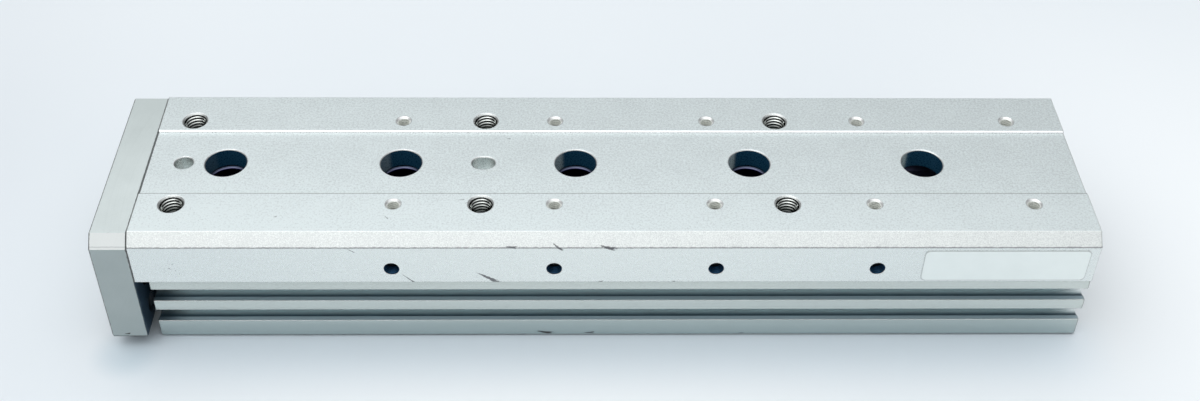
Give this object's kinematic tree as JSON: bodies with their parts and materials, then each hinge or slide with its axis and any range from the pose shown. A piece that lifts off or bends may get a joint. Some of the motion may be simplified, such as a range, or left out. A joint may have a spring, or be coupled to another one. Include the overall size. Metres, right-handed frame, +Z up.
{
  "type": "pneumatic slide table",
  "caption": "Flat air slide table: channel-shaped table on a crossed-roller guide over a twin-bore cylinder body with switch grooves and an end plate.",
  "frame": {"origin": "centre of the middle body-mounting hole, on the underside of the cylinder body", "axes": "+X along the stroke away from the end plate, +Y across the table away from the switch-groove side, +Z up out of the table's work face"},
  "size_m": [0.2115, 0.0501, 0.032],
  "materials": {
    "body_aluminium": "clear anodised extrusion, faint grey-green",
    "table_aluminium": "fine sandblasted, clear anodised",
    "plate_aluminium": "smooth clear anodised",
    "turned_aluminium": "turned",
    "rail_steel": "ground",
    "screw_steel": "plain",
    "clip_steel": "phosphated",
    "insert_steel": "bright stainless wire",
    "rod_steel": "hard chrome, polished",
    "roller_steel": "lapped",
    "cage_steel": "thin sheet",
    "seal_rubber": "matt",
    "magnet_rubber": "bonded magnet",
    "wear_resin": "plain",
    "label_film": "blank silver-white film"
  },
  "bodies": {
    "cylinder": {"cylinder_body": "body_aluminium", "guide_block": "rail_steel", "guide_block_screws": "screw_steel", "guide_stop_screws": "screw_steel", "rod_covers": "turned_aluminium", "rod_seals": "seal_rubber", "rod_cover_orings": "seal_rubber", "rod_cover_retaining_rings": "clip_steel", "head_caps": "turned_aluminium", "head_cap_orings": "seal_rubber", "head_cap_retaining_rings": "clip_steel", "port_plugs": "screw_steel"},
    "table": {"table_plate": "table_aluminium", "thread_inserts": "insert_steel", "rail_near": "rail_steel", "rail_far": "rail_steel", "rail_screws": "screw_steel", "rail_stop_screws": "screw_steel", "preload_screws": "clip_steel", "end_plate": "plate_aluminium", "end_plate_screws": "screw_steel", "floating_bushes": "screw_steel", "rod_end_screws": "screw_steel", "piston_rods": "rod_steel", "pistons": "turned_aluminium", "piston_seals": "seal_rubber", "piston_magnets": "magnet_rubber", "wear_rings": "wear_resin", "piston_dampers": "seal_rubber", "label_plate": "label_film"},
    "cage_near": {"roller_cage_near": "cage_steel", "rollers_near": "roller_steel"},
    "cage_far": {"roller_cage_far": "cage_steel", "rollers_far": "roller_steel"}
  },
  "joints": [
    {"name": "table_slide", "type": "slide", "parent": "cylinder", "child": "table", "axis": [-1, 0, 0], "range_m": [0, 0.1]},
    {"name": "cage_near_slide", "type": "slide", "parent": "cylinder", "child": "cage_near", "axis": [-1, 0, 0], "range_m": [0, 0.05]},
    {"name": "cage_far_slide", "type": "slide", "parent": "cylinder", "child": "cage_far", "axis": [-1, 0, 0], "range_m": [0, 0.05]}
  ],
  "couplings": [
    {"joint": "cage_near_slide", "follows": "table_slide", "ratio": 0.5},
    {"joint": "cage_far_slide", "follows": "table_slide", "ratio": 0.5}
  ]
}
